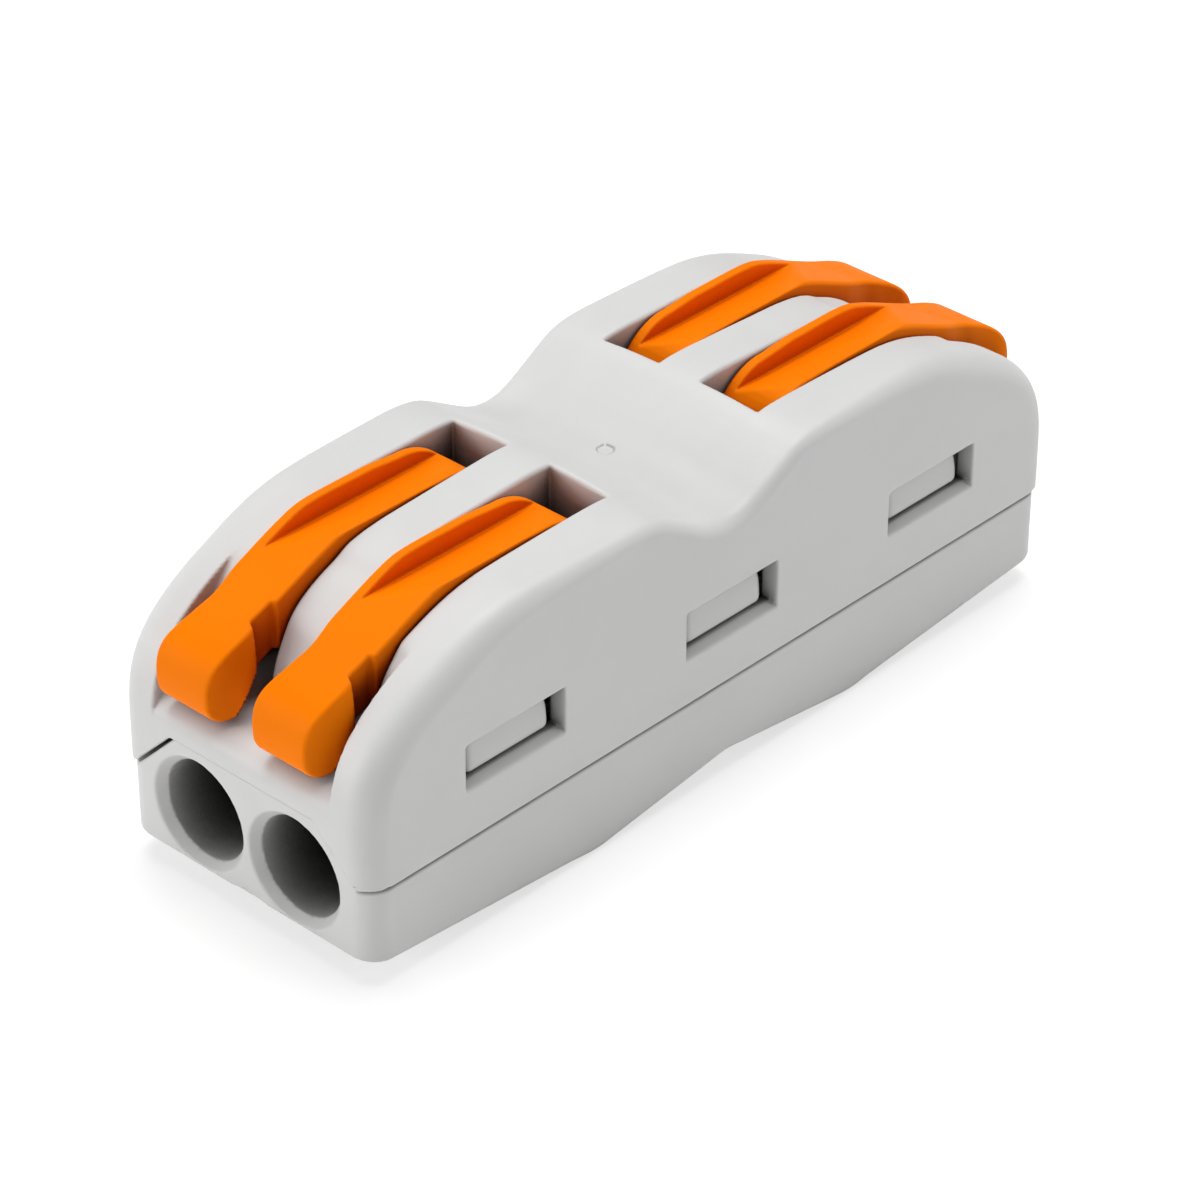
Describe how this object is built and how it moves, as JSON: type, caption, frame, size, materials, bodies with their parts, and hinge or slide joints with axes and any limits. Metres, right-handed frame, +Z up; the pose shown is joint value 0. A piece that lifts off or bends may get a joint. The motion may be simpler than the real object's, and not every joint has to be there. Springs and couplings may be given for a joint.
{
  "type": "lever wire connector",
  "caption": "Straight-through lever-operated splice connector for electrical wires: grey two-part housing, wire entries at both ends and flip-up clamping levers on top.",
  "frame": {"origin": "middle of the part in plan, at the height of its two lowest points", "axes": "+X along the length, +Y across the two poles, +Z up through the levers"},
  "size_m": [0.05, 0.017, 0.0173],
  "materials": {
    "housing": "fine matt light grey moulded polyamide",
    "lever": "satin orange moulded plastic",
    "busbar": "tinned copper strip",
    "spring": "rolled stainless spring strip"
  },
  "bodies": {
    "housing": {"upper_housing": "housing", "lower_housing": "housing", "busbar_front": "busbar", "busbar_rear": "busbar", "spring_loop_left_front": "spring", "spring_loop_left_rear": "spring", "spring_loop_right_front": "spring", "spring_loop_right_rear": "spring"},
    "lever_body_left_front": {"lever_left_front": "lever"},
    "clamp_body_left_front": {"spring_leg_left_front": "spring"},
    "lever_body_left_rear": {"lever_left_rear": "lever"},
    "clamp_body_left_rear": {"spring_leg_left_rear": "spring"},
    "lever_body_right_front": {"lever_right_front": "lever"},
    "clamp_body_right_front": {"spring_leg_right_front": "spring"},
    "lever_body_right_rear": {"lever_right_rear": "lever"},
    "clamp_body_right_rear": {"spring_leg_right_rear": "spring"}
  },
  "joints": [
    {"name": "lever_hinge_left_front", "type": "hinge", "parent": "housing", "child": "lever_body_left_front", "pos_m": [-0.0096, -0.00325, 0.0134], "axis": [0, 1, 0], "range_deg": [0, 90]},
    {"name": "clamp_flex_left_front", "type": "hinge", "parent": "housing", "child": "clamp_body_left_front", "pos_m": [-0.0032, -0.00325, 0.009], "axis": [0, -1, 0], "range_deg": [0, 15.5]},
    {"name": "lever_hinge_left_rear", "type": "hinge", "parent": "housing", "child": "lever_body_left_rear", "pos_m": [-0.0096, 0.00325, 0.0134], "axis": [0, 1, 0], "range_deg": [0, 90]},
    {"name": "clamp_flex_left_rear", "type": "hinge", "parent": "housing", "child": "clamp_body_left_rear", "pos_m": [-0.0032, 0.00325, 0.009], "axis": [0, -1, 0], "range_deg": [0, 15.5]},
    {"name": "lever_hinge_right_front", "type": "hinge", "parent": "housing", "child": "lever_body_right_front", "pos_m": [0.0096, -0.00325, 0.0134], "axis": [0, -1, 0], "range_deg": [0, 90]},
    {"name": "clamp_flex_right_front", "type": "hinge", "parent": "housing", "child": "clamp_body_right_front", "pos_m": [0.0032, -0.00325, 0.009], "axis": [0, 1, 0], "range_deg": [0, 15.5]},
    {"name": "lever_hinge_right_rear", "type": "hinge", "parent": "housing", "child": "lever_body_right_rear", "pos_m": [0.0096, 0.00325, 0.0134], "axis": [0, -1, 0], "range_deg": [0, 90]},
    {"name": "clamp_flex_right_rear", "type": "hinge", "parent": "housing", "child": "clamp_body_right_rear", "pos_m": [0.0032, 0.00325, 0.009], "axis": [0, 1, 0], "range_deg": [0, 15.5]}
  ],
  "couplings": [
    {"joint": "clamp_flex_left_front", "follows": "lever_hinge_left_front", "ratio": 0.171},
    {"joint": "clamp_flex_left_rear", "follows": "lever_hinge_left_rear", "ratio": 0.171},
    {"joint": "clamp_flex_right_front", "follows": "lever_hinge_right_front", "ratio": 0.171},
    {"joint": "clamp_flex_right_rear", "follows": "lever_hinge_right_rear", "ratio": 0.171}
  ]
}
